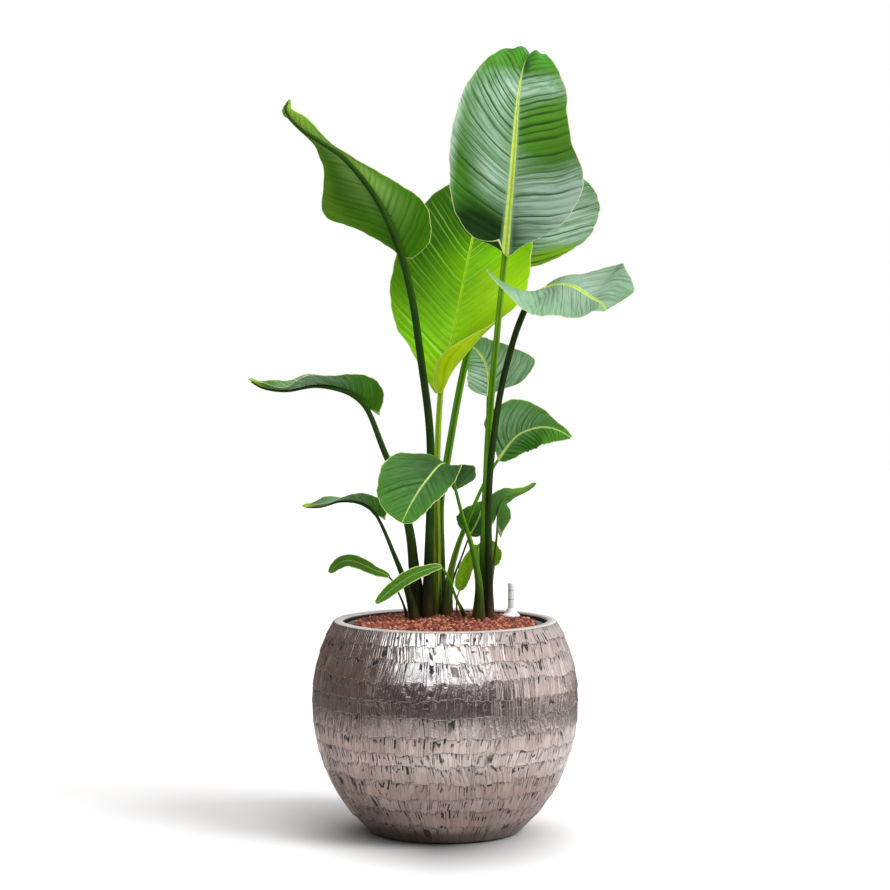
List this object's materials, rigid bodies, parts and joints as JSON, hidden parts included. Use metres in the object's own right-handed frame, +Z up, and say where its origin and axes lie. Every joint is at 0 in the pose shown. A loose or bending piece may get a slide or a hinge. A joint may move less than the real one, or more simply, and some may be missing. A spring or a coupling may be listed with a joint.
{
  "type": "potted bird of paradise",
  "caption": "Clump of long-stalked paddle-shaped leaves in clay granules, in a plastic liner inside a banded globe pot of hammered metal, with a water gauge.",
  "frame": {"origin": "centre of the pot's base, on the surface that it stands on", "axes": "+Z up, -Y to the front as pictured, +X to the right"},
  "size_m": [0.5646, 0.4371, 1.1817],
  "materials": {
    "hammered_metal": "satin",
    "liner_plastic": "satin",
    "clay_granules": "matte",
    "gauge_clear": "gloss",
    "gauge_white": "satin",
    "gauge_red": "gloss",
    "blade_green": "satin",
    "blade_olive": "satin",
    "blade_lime": "satin",
    "blade_grey_green": "satin",
    "stalk_green": "satin",
    "stalk_dark": "satin",
    "stalk_lime": "satin",
    "stalk_brown": "matte"
  },
  "bodies": {
    "root": {"pot": "hammered_metal", "liner": "liner_plastic", "granules": "clay_granules", "gauge_tube": "gauge_clear", "gauge_collar": "gauge_white", "gauge_float": "gauge_red", "stalk_top": "stalk_green", "blade_top": "blade_green", "stalk_back_right": "stalk_green", "blade_back_right": "blade_green", "stalk_lime": "stalk_lime", "blade_lime": "blade_lime", "stalk_upper_left": "stalk_dark", "blade_upper_left": "blade_olive", "stalk_right_arch": "stalk_dark", "blade_right_arch": "blade_grey_green", "stalk_far_left": "stalk_dark", "blade_far_left": "blade_olive", "stalk_front": "stalk_green", "blade_front": "blade_green", "stalk_low_left": "stalk_dark", "blade_low_left": "blade_olive", "stalk_small_left": "stalk_dark", "blade_small_left": "blade_green", "stalk_small_front": "stalk_green", "blade_small_front": "blade_green", "stalk_back_mid": "stalk_green", "blade_back_mid": "blade_grey_green", "stalk_right_mid": "stalk_green", "blade_right_mid": "blade_green", "stalk_right_small": "stalk_green", "blade_right_small": "blade_green", "stalk_inner_small": "stalk_dark", "blade_inner_small": "blade_green", "stalk_inner_round": "stalk_green", "blade_inner_round": "blade_green", "stalk_young_yellow": "stalk_brown", "blade_young_yellow": "blade_lime"}
  },
  "joints": []
}
